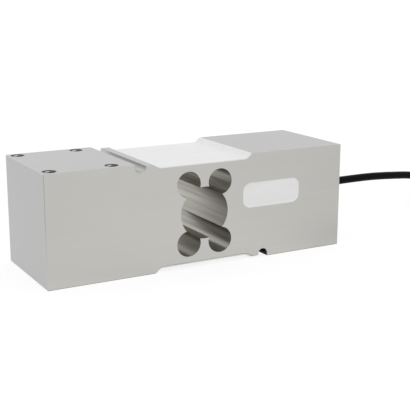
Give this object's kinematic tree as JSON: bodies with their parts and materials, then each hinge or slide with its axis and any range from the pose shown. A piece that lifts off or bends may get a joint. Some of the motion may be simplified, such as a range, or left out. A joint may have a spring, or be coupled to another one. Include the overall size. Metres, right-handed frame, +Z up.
{
  "type": "single point load cell",
  "caption": "Aluminium single point load cell: a bar with joined bores, gauge reliefs under white silicone, tapped mounting pads and a coiled black cable.",
  "frame": {"origin": "bottom centre of the spring body, on the surface that it stands on", "axes": "+X along the bar to the end where the cable leaves, -Y towards the face with the pocket, +Z up"},
  "size_m": [0.3832, 0.0785, 0.0635],
  "materials": {
    "body_aluminium": "fine milled",
    "white_silicone": "smooth satin",
    "gauge_film": "clear amber film",
    "solder_tabs": "tinned copper on film",
    "enamelled_wire": "enamelled copper",
    "signal_wire": "thin insulation",
    "circuit_board": "solder mask",
    "adhesive_pad": "foam tape",
    "resistor_case": "moulded",
    "cable_jacket": "satin extruded",
    "ferrule_metal": "plated, crimped",
    "bare_wire": "tinned strands",
    "red_insulation": "satin",
    "black_insulation": "satin",
    "green_insulation": "satin",
    "white_insulation": "satin",
    "shield_sleeve": "satin",
    "tie_plastic": "moulded",
    "shrink_sleeve": "shrunk tube"
  },
  "bodies": {
    "root": {"load_cell_body": "body_aluminium", "pocket_sealant": "white_silicone", "upper_gauge_sealant": "white_silicone", "upper_load_end_gauge": "gauge_film", "upper_fixed_end_gauge": "gauge_film", "upper_terminal_strip": "solder_tabs", "upper_gauge_leads": "enamelled_wire", "upper_signal_wires": "signal_wire", "lower_gauge_sealant": "white_silicone", "lower_load_end_gauge": "gauge_film", "lower_fixed_end_gauge": "gauge_film", "lower_terminal_strip": "solder_tabs", "lower_gauge_leads": "enamelled_wire", "lower_signal_wires": "signal_wire", "junction_board": "circuit_board", "board_adhesive_pad": "adhesive_pad", "zero_balance_resistor": "resistor_case", "span_resistor": "resistor_case", "temperature_resistor": "resistor_case", "cable_entry_jacket": "cable_jacket", "cable_entry_seal": "white_silicone", "cable_anchor_ferrule": "ferrule_metal", "red_core": "red_insulation", "black_core": "black_insulation", "green_core": "green_insulation", "white_core": "white_insulation", "shield_drain": "bare_wire", "cable_run": "cable_jacket", "cable_coil": "cable_jacket", "cable_tail": "cable_jacket", "coil_tie_1": "tie_plastic", "coil_tie_2": "tie_plastic", "cable_end_sleeve": "shrink_sleeve", "red_lead": "red_insulation", "black_lead": "black_insulation", "green_lead": "green_insulation", "white_lead": "white_insulation", "shield_lead": "shield_sleeve", "lead_tips": "bare_wire"}
  },
  "joints": []
}
